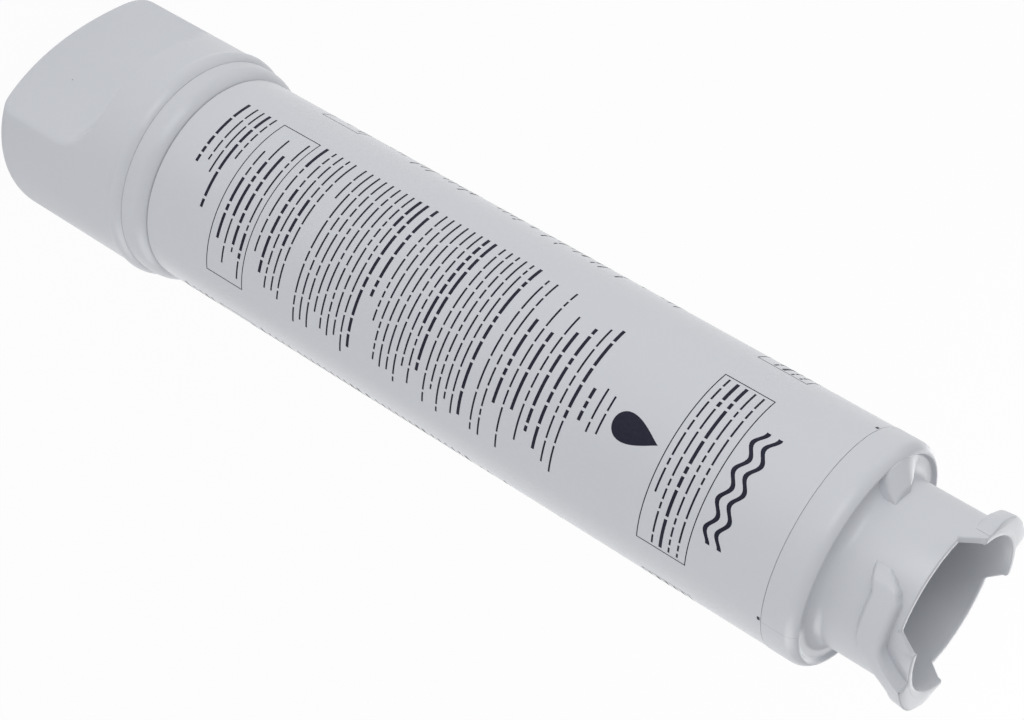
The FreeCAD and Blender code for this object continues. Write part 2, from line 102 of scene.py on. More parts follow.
def soften(bm, edges, width, segments):
    """Rounds edges by a width."""
    bmesh.ops.bevel(bm, geom=edges, affect="EDGES", offset=width * MM, offset_type="OFFSET",
                    segments=segments, profile=0.5, material=-1, clamp_overlap=False)


def keep(bm, name, node, crease=CREASE, closed=True):
    """Makes the bmesh a piece that rides on the row's one body and stands for a node of the solids."""
    bmesh.ops.remove_doubles(bm, verts=bm.verts, dist=WELD)
    if closed:
        bmesh.ops.recalc_face_normals(bm, faces=bm.faces)
    mesh = bpy.data.meshes.new(name)
    bm.to_mesh(mesh)
    bm.free()
    mesh.shade_smooth()
    mesh.set_sharp_from_angle(angle=math.radians(crease))
    piece = bpy.data.objects.new(name, mesh)
    bpy.context.scene.collection.objects.link(piece)
    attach(piece, "root")
    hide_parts(node)
    print(f"{name}: {len(mesh.polygons)} faces")
    return piece


# %% [markdown]
# ## The grip cap
#
# The grip is a closed cup with a gently domed end. A thumb and a finger hold two flats that are scooped
# into its sides and run out in a hollow curve. Cutting them with a boolean would leave long thin faces and
# hard edges. Here the cup is spun with many columns, and each point is then pressed in along its radius as
# far as the flat allows. A smooth minimum blends the two surfaces, so the edge of each flat comes out
# rounded, as in the moulding.

# %% Spin the cup
GRIP_R = 26.1
LAND_R = 12.0
CROWN_R = 54.5
END_ROUND = 5.0
FLAT_Y = 14.75
FLAT_BLEND = 1.3
SCOOP_Z = 32.5
SCOOP_EDGE = 0.03
RUNOUT_R = 10.0
COLLAR_Z = 36.5
BEAD_FOOT = ((0, 39.9), (0.06, 40.4), (0.26, 40.95))
BEAD_R = 26.45
BEAD_FALL = 2.4
BEAD_DROP = 1.1
WELD_Z = 43.8
CAP_BORE_R = 23.4
LEDGE_Z = 35.2
GRIP_COLUMNS = 640
DOME_STEPS = 26
CORNER_STEPS = 9
WALL_STEPS = 8
RUNOUT_STEPS = 18
BEAD_STEPS = 8

dome_z = math.sqrt(CROWN_R ** 2 - LAND_R ** 2)
corner_r = GRIP_R - END_ROUND
corner_z = dome_z - math.sqrt((CROWN_R - END_ROUND) ** 2 - corner_r ** 2)
crown_start = math.degrees(math.asin(LAND_R / CROWN_R)) - QUARTER
crown_stop = math.degrees(math.asin(corner_r / (CROWN_R - END_ROUND))) - QUARTER
bead_arc = (BEAD_DROP ** 2 + BEAD_FALL ** 2) / (2 * BEAD_DROP)
bead_stop = math.degrees(math.asin(BEAD_FALL / bead_arc))
runout_z = SCOOP_Z - RUNOUT_R
wall_rise = runout_z - corner_z
runout_turns = [math.radians(QUARTER * i / RUNOUT_STEPS) for i in range(1, RUNOUT_STEPS + 1)]
cup = [(0, 0), (LAND_R / 2, 0)]
cup += arc((0, dome_z), CROWN_R, crown_start, crown_stop, DOME_STEPS)
cup += arc((corner_r, corner_z), END_ROUND, crown_stop, 0, CORNER_STEPS)[1:]
cup += [(GRIP_R, corner_z + wall_rise * i / WALL_STEPS) for i in range(1, WALL_STEPS + 1)]
cup += [(GRIP_R, runout_z + RUNOUT_R * math.sin(turn)) for turn in runout_turns]
cup += [(GRIP_R, SCOOP_Z + SCOOP_EDGE), (GRIP_R, COLLAR_Z)]
cup += [(GRIP_R + swell, height) for swell, height in BEAD_FOOT]
cup += arc((BEAD_R - bead_arc, WELD_Z - BEAD_FALL), bead_arc, 0, bead_stop, BEAD_STEPS)
cup += [(CAP_BORE_R, WELD_Z), (CAP_BORE_R, LEDGE_Z), (0, LEDGE_Z)]
grip = spun(cup, GRIP_COLUMNS, closed=False)
print("cup spun:", len(grip.faces), "faces")

# %% Press the flats


def flat_reach(height):
    """How far a flat lies from the axis at a height: level, then along the hollow run-out."""
    rise = max(height - runout_z, 0)
    return FLAT_Y + RUNOUT_R - math.sqrt(max(RUNOUT_R ** 2 - rise ** 2, 0))


def smooth_least(a, b, blend):
    """The lesser of two lengths, rounded where they cross."""
    share = max(blend - abs(a - b), 0) / blend
    return min(a, b) - share * share * blend / 4


for vert in grip.verts:
    height, out = vert.co.z / MM, reach(vert)
    in_bore = out < CAP_BORE_R + TOUCH and height > corner_z
    if out < LAND_R or height > SCOOP_Z + HAIR or in_bore:
        continue
    leaning = abs(vert.co.y) / MM / out
    if leaning * out < FLAT_Y - FLAT_BLEND:
        continue
    share = smooth_least(out, flat_reach(height) / leaning, FLAT_BLEND) / out
    vert.co.x *= share
    vert.co.y *= share
grip_piece = keep(grip, "grip_cap_shell", "grip_cap")

# %% [markdown]
# ## The housing
#
# The barrel, its weld flange, the shoulder and the neck are one moulding, so they are one spin. A thin
# crevice parts the flange from the foot of the wrap. The shoulder rolls over to a thin lip, and a groove
# runs between that lip and the neck. Water comes in through six ports in the socket's floor: both faces of
# the floor are filled again round their circles, and the circles are bridged. The mouth of the neck is not
# round in height: two wide notches leave two tabs standing. Planes cut the spun wall along the notches, the
# faces between them go, and the open edges are bridged, inside to outside. Then the rim is softened all
# round.

# %% Spin the shell
FLANGE_R = 25.3
FLANGE_TOP = 49.7
FLANGE_FALL = 3.6
FLANGE_STEPS = 10
WELD_SOFT = 0.1
CREVICE = 0.32
CREVICE_R = 22.75
RECESS_R = 23.35
RECESS_TOP = 209.8
BARREL_R = 23.7
BARREL_EDGE = 0.1
BARREL_EDGE_MID = 0.03
BARREL_BORE_R = 20.95
SPIGOT_R = 23.3
SPIGOT_Z = 38.8
FACE_Z = 217.9
SHOULDER_ROUND = 3.2
SHOULDER_STEPS = 10
LIP_TURN = 48
LIP_SOFT = 0.6
LIP_STEPS = 8
GROOVE_SLOPE = 45
GROOVE_FLOOR = 216.6
GROOVE_STEPS = 4
NECK_FILLET = 2.5
NECK_FILLET_STEPS = 12
NECK_R = 17.7
NECK_BORE_R = 16.1
RIM_Z = 237.5
SOCKET_Z = 211.9
SOCKET_SOFT = 0.4
SOCKET_UNDER = 209.5
SLEEVE_END = 197.5
OUTLET_R = 4.0
OUTLET_SOFT = 0.3
SLEEVE_R = 6.0
SLEEVE_OUT_R = 7.8
INNER_FACE = 214.0
SHELL_COLUMNS = 288

flange_drop = FLANGE_R - RECESS_R
flange_arc = (flange_drop ** 2 + FLANGE_FALL ** 2) / (2 * flange_drop)
flange_stop = math.degrees(math.asin(FLANGE_FALL / flange_arc))
shell = [(BARREL_BORE_R, SPIGOT_Z), (SPIGOT_R, SPIGOT_Z), (SPIGOT_R, WELD_Z)]
shell += [(FLANGE_R - WELD_SOFT, WELD_Z), (FLANGE_R, WELD_Z + WELD_SOFT)]
shell += arc((FLANGE_R - flange_arc, FLANGE_TOP - FLANGE_FALL), flange_arc, 0, flange_stop, FLANGE_STEPS)
shell += [(CREVICE_R, FLANGE_TOP), (CREVICE_R, FLANGE_TOP + CREVICE), (RECESS_R, FLANGE_TOP + CREVICE)]
shell += [(RECESS_R, RECESS_TOP), (BARREL_R - BARREL_EDGE, RECESS_TOP)]
shell += [(BARREL_R - BARREL_EDGE_MID, RECESS_TOP + BARREL_EDGE_MID), (BARREL_R, RECESS_TOP + BARREL_EDGE)]
shoulder_centre = (BARREL_R - SHOULDER_ROUND, FACE_Z - SHOULDER_ROUND)
shoulder = arc(shoulder_centre, SHOULDER_ROUND, 0, LIP_TURN, SHOULDER_STEPS)
lip_way = math.radians(LIP_TURN)
lip_r = shoulder[-1][0] - LIP_SOFT * math.cos(lip_way)
lip_z = shoulder[-1][1] - LIP_SOFT * math.sin(lip_way)
shell += shoulder + arc((lip_r, lip_z), LIP_SOFT, LIP_TURN, 2 * QUARTER - GROOVE_SLOPE, LIP_STEPS)[1:]
# The groove's outer wall slopes at half a right angle, so it goes in as far as it goes down
slope_share = math.cos(math.radians(GROOVE_SLOPE))
slope_end = GROOVE_FLOOR + LIP_SOFT * (1 - slope_share)
foot_r = shell[-1][0] - (shell[-1][1] - slope_end) - LIP_SOFT * slope_share
shell += arc((foot_r, GROOVE_FLOOR + LIP_SOFT), LIP_SOFT, -GROOVE_SLOPE, -QUARTER, GROOVE_STEPS)
fillet_centre = (NECK_R + NECK_FILLET, GROOVE_FLOOR + NECK_FILLET)
shell += arc(fillet_centre, NECK_FILLET, -QUARTER, -2 * QUARTER, NECK_FILLET_STEPS)
shell += [(NECK_R, RIM_Z), (NECK_BORE_R, RIM_Z)]
shell += [(NECK_BORE_R, SOCKET_Z + SOCKET_SOFT), (NECK_BORE_R - SOCKET_SOFT, SOCKET_Z)]
shell += [(SLEEVE_OUT_R, SOCKET_Z), (OUTLET_R + OUTLET_SOFT, SOCKET_Z)]
shell += [(OUTLET_R, SOCKET_Z - OUTLET_SOFT), (OUTLET_R, SOCKET_UNDER), (SLEEVE_R, SOCKET_UNDER)]
shell += [(SLEEVE_R, SLEEVE_END), (SLEEVE_OUT_R, SLEEVE_END), (SLEEVE_OUT_R, SOCKET_UNDER)]
shell += [(NECK_R, SOCKET_UNDER), (NECK_R, INNER_FACE), (BARREL_BORE_R, INNER_FACE)]
housing = spun(shell, SHELL_COLUMNS)
print("housing spun:", len(housing.faces), "faces")

# %% Open the inlet ports in the socket's floor
INLETS = 6
INLET_R = 2.0
INLET_CIRCLE = (SLEEVE_OUT_R + NECK_BORE_R) / 2
INLET_STEPS = 40
INLET_SOFT = 0.25


def port_loops(level, radius):
    """One circle for each port, at a height; returns the edges of each."""
    loops = []
    for number in range(INLETS):
        turn = FULL_TURN * number / INLETS
        place = Vector((INLET_CIRCLE * math.cos(turn), INLET_CIRCLE * math.sin(turn), level)) * MM
        made = bmesh.ops.create_circle(housing, segments=INLET_STEPS, radius=radius * MM,
                                       matrix=Matrix.Translation(place))
        loops.append(list({e for v in made["verts"] for e in v.link_edges}))
    return loops


def on_floor(vert, level):
    return abs(vert.co.z / MM - level) < HAIR and reach(vert) > SLEEVE_OUT_R - HAIR


def pierce(level, loops):
    """Fills one face of the floor again, round the ports."""
    old = {f for f in housing.faces if all(on_floor(v, level) for v in f.verts)}
    border = [e for f in old for e in f.edges if sum(other in old for other in e.link_faces) == 1]
    bmesh.ops.delete(housing, geom=list(old), context="FACES")
    bmesh.ops.triangle_fill(housing, use_beauty=True, edges=border + [e for loop in loops for e in loop],
                            normal=(0, 0, 1))


mouths = port_loops(SOCKET_Z, INLET_R + INLET_SOFT)
throats = port_loops(SOCKET_Z - INLET_SOFT, INLET_R)
ends = port_loops(SOCKET_UNDER, INLET_R)
pierce(SOCKET_Z, mouths)
pierce(SOCKET_UNDER, ends)
for mouth, throat, end in zip(mouths, throats, ends):
    bmesh.ops.bridge_loops(housing, edges=mouth + throat)
    bmesh.ops.bridge_loops(housing, edges=throat + end)
print("ports:", INLETS, " open edges left:", sum(e.is_boundary for e in housing.edges))

# %% Cut the notches
NOTCH_Z = 233.65
NOTCH_HALF = 10.0
NOTCH_TOP_HALF = 12.5
NOTCH_BASE = math.asin(NOTCH_HALF / NECK_R)
NOTCH_TOP = math.asin(NOTCH_TOP_HALF / NECK_R)
WALL_MID = (NECK_R + NECK_BORE_R) / 2
CUT_MERGE = 0.12
SIDES = (-1, 1)


def neck_wall(bm, front):
    """The faces of the neck's free wall on one side of the axis, with their edges and corners."""
    faces = [f for f in bm.faces if all(NECK_BORE_R - TOUCH < reach(v) < NECK_R + TOUCH for v in f.verts)
             and f.calc_center_median().z > FACE_Z * MM and front * f.calc_center_median().y > 0]
    return faces + list({e for f in faces for e in f.edges}) + list({v for f in faces for v in f.verts})


def flank_point(side, front, turn, height):
    """A point outside the neck, on one flank of a notch."""
    return Vector((side * math.sin(turn) * NECK_R, front * math.cos(turn) * NECK_R, height))


def in_notch(face):
    """Whether a face of the neck's wall lies between the flared flanks of a notch."""
    centre = face.calc_center_median() / MM
    share = (centre.z - NOTCH_Z) / (RIM_Z - NOTCH_Z)
    flank = NOTCH_BASE + (NOTCH_TOP - NOTCH_BASE) * share
    return share > 0 and math.atan2(abs(centre.x), abs(centre.y)) < flank


for front in SIDES:
    cuts = [((0, 0, NOTCH_Z * MM), Vector((0, 0, 1)))]
    for side in SIDES:
        low = flank_point(side, front, NOTCH_BASE, NOTCH_Z)
        high = flank_point(side, front, NOTCH_TOP, RIM_Z)
        cuts.append((low * MM, Vector((low.x, low.y, 0)).cross(high - low).normalized()))
    for point, normal in cuts:
        bmesh.ops.bisect_plane(housing, geom=neck_wall(housing, front), dist=WELD,
                               plane_co=point, plane_no=normal)
notch_faces = [f for front in SIDES for f in neck_wall(housing, front)
               if isinstance(f, bmesh.types.BMFace) and in_notch(f)]
bmesh.ops.delete(housing, geom=notch_faces, context="FACES")
notch_level = (NOTCH_Z - TOUCH) * MM
near = [v for v in housing.verts if v.co.z > notch_level]
bmesh.ops.remove_doubles(housing, verts=near, dist=CUT_MERGE * MM)
for side in SIDES:
    loose = [e for e in housing.edges if e.is_boundary and side * e.verts[0].co.y > 0]
    outer = [e for e in loose if all(reach(v) > WALL_MID for v in e.verts)]
    inner = [e for e in loose if all(reach(v) < WALL_MID for v in e.verts)]
    bmesh.ops.bridge_loops(housing, edges=outer + inner)
bmesh.ops.recalc_face_normals(housing, faces=housing.faces)
print("notches cut, open edges left:", sum(e.is_boundary for e in housing.edges))

# %% Soften the rim
RIM_CREASE = math.radians(25)
RIM_SOFT = 0.32
RIM_SEGMENTS = 3
MOUTH_TURN = math.radians(24.3)

rim = [e for e in housing.edges if e.is_manifold and min(v.co.z for v in e.verts) > notch_level
       and e.calc_face_angle() > RIM_CREASE]
soften(housing, rim, RIM_SOFT, RIM_SEGMENTS)
turn_whole(housing, MOUTH_TURN)
print("rim edges softened:", len(rim), " open edges left:", sum(e.is_boundary for e in housing.edges))
housing_piece = keep(housing, "housing_shell", "filter_housing")

# %% [markdown]
# ## The cam ribs
#
# Two ribs outside the neck draw the cartridge in as it turns. Each leads in low, dwells, climbs in an S,
# then runs out along the rim of its tab. A curve with a bevel would twist, and its section could not
# change, so the rib is a row of sections: closed loops of a few points, one about every two degrees,
# bridged one to the next. A plane trims the top level with the rim.

# %% Loops in a row, bridged


def spaced(first, last, count):
    """Even steps from the first place up to the last, which is left to what follows."""
    return [first + (last - first) * i / count for i in range(count)]


def eased(stations, place):
    """Values at a place between stations, easing out of each and into the next."""
    for (low, *first), (high, *last) in zip(stations, stations[1:]):
        if place <= high:
            share = (place - low) / (high - low)
            share = share * share * (3 - 2 * share)
            return [a + (b - a) * share for a, b in zip(first, last)]
    return list(stations[-1][1:])


def ring_of(bm, points, turn):
    """A closed loop of points of radius and height, stood on a half-plane through the axis."""
    across, along = math.cos(turn), math.sin(turn)
    verts = [bm.verts.new((r * across * MM, r * along * MM, z * MM)) for r, z in points]
    return [bm.edges.new(pair) for pair in zip(verts, verts[1:] + verts[:1])]


def bridged(bm, rings):
    """Joins loops in a row into one closed skin."""
    for first, last in zip(rings, rings[1:]):
        bmesh.ops.bridge_loops(bm, edges=first + last)
    for ends in (rings[0], rings[-1]):
        bmesh.ops.edgenet_fill(bm, edges=ends)
    bmesh.ops.recalc_face_normals(bm, faces=bm.faces)


def trim_level(bm, level):
    """Cuts off what stands above a level and closes the cut."""
    cut = bmesh.ops.bisect_plane(bm, geom=bm.verts[:] + bm.edges[:] + bm.faces[:], dist=WELD,
                                 plane_co=(0, 0, level * MM), plane_no=(0, 0, 1), clear_outer=True)
    edges = [e for e in cut["geom_cut"] if isinstance(e, bmesh.types.BMEdge)]
    return bmesh.ops.edgenet_fill(bm, edges=edges)["faces"]


# %% The two ribs
ROOT_SINK = 0.5
RIB_PROUD = 2.3
RIB_LEAN = 0.4
RIB_WIDTH = 5.3
RIB_LEAD_WIDTH = 0.55
RIB_ROUND = 1.1
RIB_ROUND_SHARE = 0.8
RIB_ROUND_STEPS = 6
RIB_FOOT_SOFT = 0.45
RIB_FOOT_TURN = (0.25, 0.1)
RIB_FOOT_LEAN = 0.02
RIB_FLANK_DROP = 1.7
RIB_FLANK_RUN = RIB_PROUD + 1.2
RIB_Z = FACE_Z + 9.0
RIB_RISE = 7.5
RIB_ROOT = NECK_R - ROOT_SINK
RIB_LOOPS = 72
# Each station: degrees from the middle of the tab, lift, and share of the full height over the neck
RIB_STATIONS = ((-85.8, -2.6, 0.15), (-81.8, -2.0, 0.62), (-76.8, -1.05, 1), (-69.8, 0, 1), (-45.8, 0, 1),
                (-9.8, RIB_RISE, 1), (8.2, RIB_RISE, 1), (26.2, RIB_RISE, 3 / 4), (42.2, RIB_RISE, 0.04))


def rib_section(lift, share):
    """The rib's loop: a sloping lower flank, a softened foot, a leaning face and a round upper edge."""
    low = RIB_Z + lift
    face = NECK_R + RIB_PROUD * share
    crest = face + RIB_LEAN * share
    top = low + RIB_WIDTH * (RIB_LEAD_WIDTH + (1 - RIB_LEAD_WIDTH) * share if lift < 0 else 1)
    slope = RIB_FLANK_DROP / RIB_FLANK_RUN
    foot = min(RIB_FOOT_SOFT, (face - RIB_ROOT) / 2)
    back, up = RIB_FOOT_TURN
    edge = min(RIB_ROUND, (crest - RIB_ROOT) * RIB_ROUND_SHARE)
    return ([(RIB_ROOT, low - (face - RIB_ROOT) * slope), (face - foot, low - foot * slope),
             (face - foot * back, low + foot * up), (face + RIB_FOOT_LEAN, low + foot)]
            + arc((crest - edge, top - edge), edge, 0, QUARTER, RIB_ROUND_STEPS) + [(RIB_ROOT, top)])


rib_start, rib_stop = RIB_STATIONS[0][0], RIB_STATIONS[-1][0]
rib_places = spaced(rib_start, rib_stop, RIB_LOOPS) + [rib_stop]
rib_pieces = []
for name, half_turn in (("cam_rib_near", 0), ("cam_rib_far", math.pi)):
    rib = bmesh.new()
    bridged(rib, [ring_of(rib, rib_section(*eased(RIB_STATIONS, place)), math.radians(place))
                  for place in rib_places])
    top_faces = trim_level(rib, RIM_Z - HAIR)
    crisp = {e for f in top_faces for e in f.edges if min(reach(v) for v in e.verts) > NECK_R + TOUCH}
    soften(rib, list(crisp), RIM_SOFT, RIM_SEGMENTS)
    turn_whole(rib, MOUTH_TURN + half_turn)
    rib_pieces.append(keep(rib, name, "filter_housing"))

# %% [markdown]
# ## The key
#
# One wedge stands across the groove beside the neck, and stops the wrong cartridge from going in. It has a
# narrow level top against the neck, a sloping face from there down to the lip, a nose wall with a well
# rounded edge, and a long ramp behind. It is made as the ribs are, loop by loop: each loop reaches as far
# out as the nose's wall lets it, and its points sink near that wall by the law of a quarter round.

# %% Loops along the key
KEY_ROOT = NECK_R - ROOT_SINK
KEY_SUNK = GROOVE_FLOOR - 0.6
KEY_CREST = FACE_Z + 2.95
KEY_LIP = 217.2
KEY_REACH = 22.45
KEY_TOP_WIDTH = 1.35
KEY_TOP_SHARE = 0.3
KEY_TOP_FALL = 0.2
KEY_ROUND = 1.5
KEY_ROUND_LEAST = 0.1
KEY_ROUND_GROWTH = 0.7
KEY_START = 121.2
KEY_TIP = 0.05
KEY_NOSE_STOP = 126.6
KEY_RAMP_START = 137.0
KEY_STOP = 170.3
KEY_BURIED = 216.3
KEY_SPREAD = 9.0
KEY_CREASE = 60
NOSE_LOOPS = 14
CREST_LOOPS = 16
RAMP_LOOPS = 18
FACE_SHARES = (1, 0.94, 0.86, 0.76, 0.64, 0.5, 0.36, 0.22, 0.1, 0.03)


def wall_turn(r):
    """Where the nose's wall stands at a distance from the axis, in degrees."""
    return KEY_START + (KEY_NOSE_STOP - KEY_START) * (r - NECK_R) / (KEY_REACH - NECK_R)


def sunk_by(turn, r):
    """How far the rounding of the nose's edge lowers a point."""
    size = min(KEY_ROUND, KEY_ROUND_LEAST + KEY_ROUND_GROWTH * (r - NECK_R))
    away = min(math.radians(turn - wall_turn(r)) * r, size)
    return size - math.sqrt(max(size ** 2 - (size - away) ** 2, 0))


def key_section(turn):
    """The key's loop at a turn: its sunk foot, its face from the lip inwards, and its level top."""
    nose = min((turn - KEY_START) / (KEY_NOSE_STOP - KEY_START), 1)
    ramp = max((turn - KEY_RAMP_START) / (KEY_STOP - KEY_RAMP_START), 0)
    spread = min((turn - KEY_START) / KEY_SPREAD, 1)
    out = NECK_R + (KEY_REACH - NECK_R) * nose
    neck_top = KEY_CREST + (KEY_BURIED - KEY_CREST) * ramp
    lip = KEY_LIP + (KEY_BURIED - KEY_LIP) * ramp
    edge = NECK_R + min(KEY_TOP_WIDTH * spread, (out - NECK_R) * KEY_TOP_SHARE)
    edge_z = neck_top - KEY_TOP_FALL * spread
    skin = []
    for share in FACE_SHARES:
        r = edge + (out - edge) * share
        skin.append((r, edge_z + (lip - edge_z) * (r - edge) / (KEY_REACH - edge)))
    skin += [((edge + NECK_R) / 2, (edge_z + neck_top) / 2), (NECK_R, neck_top)]
    skin = [(r, z - sunk_by(turn, r)) for r, z in skin]
    return [(KEY_ROOT, KEY_SUNK), (out, KEY_SUNK)] + skin + [(KEY_ROOT, neck_top)]


key = bmesh.new()
turns = spaced(KEY_START + KEY_TIP, KEY_NOSE_STOP, NOSE_LOOPS)
turns += spaced(KEY_NOSE_STOP, KEY_RAMP_START, CREST_LOOPS)
turns += spaced(KEY_RAMP_START, KEY_STOP, RAMP_LOOPS) + [KEY_STOP]
bridged(key, [ring_of(key, key_section(turn), math.radians(-turn)) for turn in turns])
turn_whole(key, MOUTH_TURN)
key_piece = keep(key, "shoulder_key", "filter_housing", crease=KEY_CREASE)

# %% [markdown]
# ## The printed wrap
#
# The wrap is a thin film that lies in a shallow recess of the barrel, with its two ends butted at the back.
# It is a strip spun nearly all the way round, so that it has a real edge that catches light at each end and
# at the seam.

# %% Spin the film
FILM_IN_R = 23.45
FILM_R = 23.6
FILM_LOW = 50.02
FILM_HIGH = 209.68
SEAM_TURN = math.radians(120)
SEAM_GAP = math.radians(0.5)

section = [(FILM_IN_R, FILM_LOW), (FILM_R, FILM_LOW), (FILM_R, FILM_HIGH), (FILM_IN_R, FILM_HIGH)]
film = spun(section, SHELL_COLUMNS, angle=FULL_TURN - SEAM_GAP)
bmesh.ops.holes_fill(film, edges=[e for e in film.edges if e.is_boundary], sides=len(section))
turn_whole(film, SEAM_TURN)
film_piece = keep(film, "printed_film", "label_wrap")

# %% [markdown]
# ## The print
#
# The wrap is printed three times round, a third of a turn apart. On paper the print is flat, so it is laid
# out flat first, in mm along the film and up it, and rolled round the barrel at the end. All of it is plain
# shapes in one ink: thin frames, rows of bars in two weights, a drop and two waves. Each bar is a grid of
# one row, cut into steps short enough to bend. Ink on film is a skin, so it is kept as an open sheet a hair
# above the film.

# %% Shapes of print, laid out flat
INK_LIFT = 0.012
STEP = 0.5
FRONT = math.radians(-60)
COLUMNS = 3
FILL_SHARES = (1, 0.8, 0.6, 0.4, 0.2, 0.04)
chance = random.Random(7)


def strip(bm, left, right, low, high, sway=None):
    """A flat strip, cut into steps; sway lifts it by a law of its place along the film."""
    steps = max(math.ceil((right - left) / STEP), 1)
    middle = Matrix.Translation(((left + right) / 2, (low + high) / 2, 0))
    spread = Matrix.Diagonal((right - left, high - low, 1, 1))
    made = bmesh.ops.create_grid(bm, x_segments=steps, y_segments=1, size=0.5, matrix=middle @ spread)
    for vert in made["verts"] if sway else ():
        vert.co.y += sway(vert.co.x)


def frame_box(bm, left, right, low, high, line):
    """A thin frame of four strips."""
    strip(bm, left, right, high - line, high)
    strip(bm, left, right, low, low + line)
    strip(bm, left, left + line, low + line, high - line)
    strip(bm, right - line, right, low + line, high - line)


def blob(bm, outline, middle):
    """A filled shape: its outline, drawn in towards its middle ring by ring."""
    rings = []
    for share in FILL_SHARES:
        verts = [bm.verts.new((middle[0] + x * share, middle[1] + y * share, 0)) for x, y in outline]
        rings.append([bm.edges.new(pair) for pair in zip(verts, verts[1:] + verts[:1])])
    for first, last in zip(rings, rings[1:]):
        bmesh.ops.bridge_loops(bm, edges=first + last)
    bmesh.ops.holes_fill(bm, edges=rings[-1], sides=0)


def rolled(bm, name, lift):
    """Rolls flat print round the film, once for each column, and keeps it."""
    for face in bm.faces:
        if face.normal.z < 0:
            face.normal_flip()
    out = FILM_R + lift
    for vert in bm.verts:
        turn = FRONT + vert.co.x / FILM_R
        vert.co = Vector((out * math.cos(turn), out * math.sin(turn), vert.co.y)) * MM
    first = bm.verts[:] + bm.edges[:] + bm.faces[:]
    for copy in range(1, COLUMNS):
        made = bmesh.ops.duplicate(bm, geom=first)["geom"]
        bmesh.ops.rotate(bm, verts=[v for v in made if isinstance(v, bmesh.types.BMVert)],
                         matrix=Matrix.Rotation(copy * FULL_TURN / COLUMNS, 3, "Z"))
    return keep(bm, name, "label_wrap", closed=False)


# %% Rows of bars
BAR = {"thin": 0.42, "thick": 0.72}
BAR_LENGTHS = (1.4, 2.2, 3.1, 3.9, 4.8, 5.6, 6.5)
BAR_LEAST = 0.9
BAR_GAP = 0.62


def bars(bm, left, right, height, weight):
    """Bars of lengths picked by chance, from one place to another along a row."""
    half = BAR[weight] / 2
    while left < right - BAR_LEAST:
        end = left + chance.choice(BAR_LENGTHS)
        if end > right - BAR_LEAST - BAR_GAP:
            end = right
        strip(bm, left, end, height - half, height + half)
        left = end + BAR_GAP


def row(bm, height, left, *runs):
    """A row: runs of thin or thick bars, each to where it ends."""
    for right, weight in runs:
        bars(bm, left, right, height, weight)
        left = right + BAR_GAP


def rows(bm, height, pitch, left, *rights, weight="thin"):
    """Rows one under another, each to where it ends; returns the height of the next one."""
    for right in rights:
        row(bm, height, left, (right, weight))
        height -= pitch
    return height


# %% Lay out one column
FRAME_LINE = 0.22
LEFT = -17.6
BOX_LEFT = -16.8
BOX_RIGHT = 20.1
BOX_PITCH = 1.94
MIDDLE = 1.9
TICK = (22.4, 23.3, 208.9, 209.5)
# Rows about the middle of the column: height, half length and weight
CENTRED = ((167.1, 4.0, "thin"), (165.0, 4.6, "thin"), (162.6, 3.4, "thick"), (157.7, 15.2, "thin"),
           (155.3, 13.6, "thick"), (152.8, 11.0, "thick"), (150.8, 14.1, "thin"), (148.6, 8.5, "thick"),
           (146.6, 18.6, "thin"), (144.3, 9.3, "thick"), (142.1, 18.2, "thin"), (140.1, 18.0, "thin"))

flat = bmesh.new()
frame_box(flat, LEFT, 20.9, 181.1, 192.5, FRAME_LINE)
next_row = rows(flat, 190.5, BOX_PITCH, BOX_LEFT, BOX_RIGHT, BOX_RIGHT)
next_row = rows(flat, next_row, BOX_PITCH, BOX_LEFT, BOX_RIGHT, weight="thick")
row(flat, next_row, BOX_LEFT, (-10.2, "thick"), (BOX_RIGHT, "thin"))
row(flat, next_row - BOX_PITCH, BOX_LEFT, (9.5, "thin"))
for height, half, weight in CENTRED:
    row(flat, height, MIDDLE - half, (MIDDLE + half, weight))
row(flat, 159.8, -14.4, (6.3, "thick"), (18.4, "thin"))
row(flat, 136.9, LEFT, (18.1, "thick"))
rows(flat, 135.0, 1.81, LEFT, 18.9, 16.4, 20.7, 16.1, 20.3)
row(flat, 125.4, LEFT, (14.0, "thick"))
row(flat, 123.6, LEFT, (4.5, "thick"), (18.1, "thin"))
rows(flat, 121.8, 1.84, LEFT, 14.9, 19.8, 17.8, 18.2, 17.4, 9.4)
row(flat, 110.1, LEFT, (5.3, "thick"))
row(flat, 107.6, LEFT, (18.2, "thick"))
row(flat, 105.7, LEFT, (-9.2, "thick"), (20.4, "thin"))
rows(flat, 103.8, 1.86, LEFT, 17.3, 18.5, 17.8, 14.7, 19.6, 18.7, 20.2, -8.1)
row(flat, 88.0, LEFT, (17.1, "thin"))
row(flat, 86.2, LEFT, (-5.7, "thin"), (5.7, "thick"), (15.9, "thin"))
row(flat, 84.3, LEFT, (16.2, "thin"))
row(flat, 82.4, LEFT, (-6.4, "thin"), (13.5, "thick"))
row(flat, 80.1, LEFT, (-10.9, "thick"), (9.8, "thin"))
frame_box(flat, LEFT, 20.3, 67.7, 78.1, FRAME_LINE)
row(flat, 76.5, -15.9, (6.9, "thin"), (13.3, "thick"), (18.2, "thin"))
row(flat, 74.3, -10.5, (11.1, "thick"), (12.8, "thin"))
row(flat, 72.1, -14.4, (-8.1, "thin"), (5.6, "thick"), (16.4, "thin"))
row(flat, 69.9, -9.4, (-2.9, "thin"), (11.6, "thick"))
row(flat, 65.4, LEFT, (-4.7, "thin"))
row(flat, 63.6, LEFT, (7.5, "thick"))
rows(flat, 61.8, 1.8, LEFT, 0.3, -1.8)
row(flat, 57.6, LEFT, (-0.3, "thick"))
strip(flat, *TICK)
print("strips laid out:", len(flat.faces))

